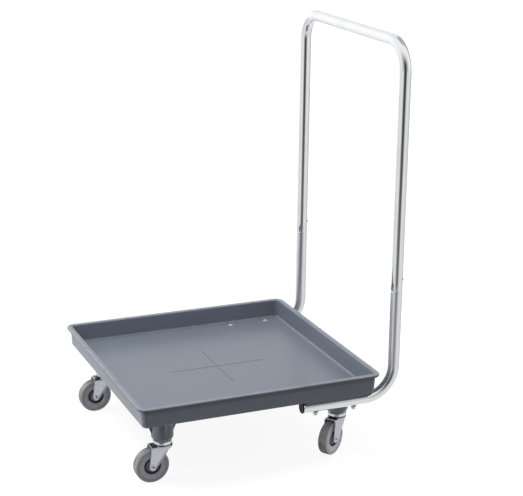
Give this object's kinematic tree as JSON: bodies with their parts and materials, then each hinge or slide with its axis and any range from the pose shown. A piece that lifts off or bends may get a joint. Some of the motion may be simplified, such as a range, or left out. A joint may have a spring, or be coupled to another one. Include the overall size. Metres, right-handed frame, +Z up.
{
  "type": "glass rack dolly",
  "caption": "Square moulded tray on swivel casters that carries racks of glasses, with a tall two-piece bent tube handle to push it by.",
  "frame": {"origin": "on the floor, under the middle of the bounding box", "axes": "+Z up, +Y towards the handle and the person who pushes, +X to that person's left"},
  "size_m": [0.555, 0.6126, 0.9225],
  "materials": {
    "tray_plastic": "fine moulded texture, satin",
    "chrome_tube": "bright plated tube",
    "bright_steel": "bright plated",
    "zinc_steel": "zinc plated sheet",
    "black_plastic": "satin",
    "hub_plastic": "satin",
    "tyre_rubber": "matt grey rubber"
  },
  "bodies": {
    "dolly": {"tray": "tray_plastic", "tray_side_walls": "tray_plastic", "tray_end_walls": "tray_plastic", "handle_loop": "chrome_tube", "handle_leg_left": "chrome_tube", "handle_leg_right": "chrome_tube", "leg_plug_left": "black_plastic", "leg_plug_right": "black_plastic", "handle_bolts": "bright_steel", "bolt_washers": "zinc_steel", "dome_nuts": "bright_steel", "button_spring_left": "zinc_steel", "button_spring_right": "zinc_steel", "front_left_stem_socket": "zinc_steel", "front_left_stem": "zinc_steel", "front_left_swivel_cup": "bright_steel", "front_left_king_washer": "zinc_steel", "front_right_stem_socket": "zinc_steel", "front_right_stem": "zinc_steel", "front_right_swivel_cup": "bright_steel", "front_right_king_washer": "zinc_steel", "rear_left_stem_socket": "zinc_steel", "rear_left_stem": "zinc_steel", "rear_left_swivel_cup": "bright_steel", "rear_left_king_washer": "zinc_steel", "rear_right_stem_socket": "zinc_steel", "rear_right_stem": "zinc_steel", "rear_right_swivel_cup": "bright_steel", "rear_right_king_washer": "zinc_steel"},
    "front_left_caster": {"front_left_fork": "zinc_steel", "front_left_swivel_balls": "bright_steel", "front_left_dust_ring": "black_plastic", "front_left_axle_rivet": "zinc_steel", "front_left_axle_sleeve": "zinc_steel"},
    "front_left_wheel": {"front_left_wheel_hub": "hub_plastic", "front_left_tyre": "tyre_rubber"},
    "front_right_caster": {"front_right_fork": "zinc_steel", "front_right_swivel_balls": "bright_steel", "front_right_dust_ring": "black_plastic", "front_right_axle_rivet": "zinc_steel", "front_right_axle_sleeve": "zinc_steel"},
    "front_right_wheel": {"front_right_wheel_hub": "hub_plastic", "front_right_tyre": "tyre_rubber"},
    "rear_left_caster": {"rear_left_fork": "zinc_steel", "rear_left_swivel_balls": "bright_steel", "rear_left_dust_ring": "black_plastic", "rear_left_axle_rivet": "zinc_steel", "rear_left_axle_sleeve": "zinc_steel"},
    "rear_left_wheel": {"rear_left_wheel_hub": "hub_plastic", "rear_left_tyre": "tyre_rubber"},
    "rear_right_caster": {"rear_right_fork": "zinc_steel", "rear_right_swivel_balls": "bright_steel", "rear_right_dust_ring": "black_plastic", "rear_right_axle_rivet": "zinc_steel", "rear_right_axle_sleeve": "zinc_steel"},
    "rear_right_wheel": {"rear_right_wheel_hub": "hub_plastic", "rear_right_tyre": "tyre_rubber"},
    "left_button": {"snap_button_left": "bright_steel"},
    "right_button": {"snap_button_right": "bright_steel"}
  },
  "joints": [
    {"name": "front_left_swivel", "type": "hinge", "parent": "dolly", "child": "front_left_caster", "pos_m": [0.205, -0.23375, 0.0925], "axis": [0, 0, 1], "continuous": true},
    {"name": "front_left_roll", "type": "hinge", "parent": "front_left_caster", "child": "front_left_wheel", "pos_m": [0.205, -0.25875, 0.0375], "axis": [1, 0, 0], "continuous": true},
    {"name": "front_right_swivel", "type": "hinge", "parent": "dolly", "child": "front_right_caster", "pos_m": [-0.205, -0.23375, 0.0925], "axis": [0, 0, 1], "continuous": true},
    {"name": "front_right_roll", "type": "hinge", "parent": "front_right_caster", "child": "front_right_wheel", "pos_m": [-0.205, -0.25875, 0.0375], "axis": [1, 0, 0], "continuous": true},
    {"name": "rear_left_swivel", "type": "hinge", "parent": "dolly", "child": "rear_left_caster", "pos_m": [0.205, 0.17625, 0.0925], "axis": [0, 0, 1], "continuous": true},
    {"name": "rear_left_roll", "type": "hinge", "parent": "rear_left_caster", "child": "rear_left_wheel", "pos_m": [0.21862, 0.15528, 0.0375], "axis": [0.8387, 0.5446, 0], "continuous": true},
    {"name": "rear_right_swivel", "type": "hinge", "parent": "dolly", "child": "rear_right_caster", "pos_m": [-0.205, 0.17625, 0.0925], "axis": [0, 0, 1], "continuous": true},
    {"name": "rear_right_roll", "type": "hinge", "parent": "rear_right_caster", "child": "rear_right_wheel", "pos_m": [-0.1998, 0.1518, 0.0375], "axis": [0.9781, 0.2079, 0], "continuous": true},
    {"name": "left_button_press", "type": "slide", "parent": "dolly", "child": "left_button", "axis": [0, -1, 0], "range_m": [0, 0.0048], "stiffness_N_per_m": 500, "springref_m": -0.002, "deforming": ["button_spring_left"]},
    {"name": "right_button_press", "type": "slide", "parent": "dolly", "child": "right_button", "axis": [0, -1, 0], "range_m": [0, 0.0048], "stiffness_N_per_m": 500, "springref_m": -0.002, "deforming": ["button_spring_right"]}
  ]
}
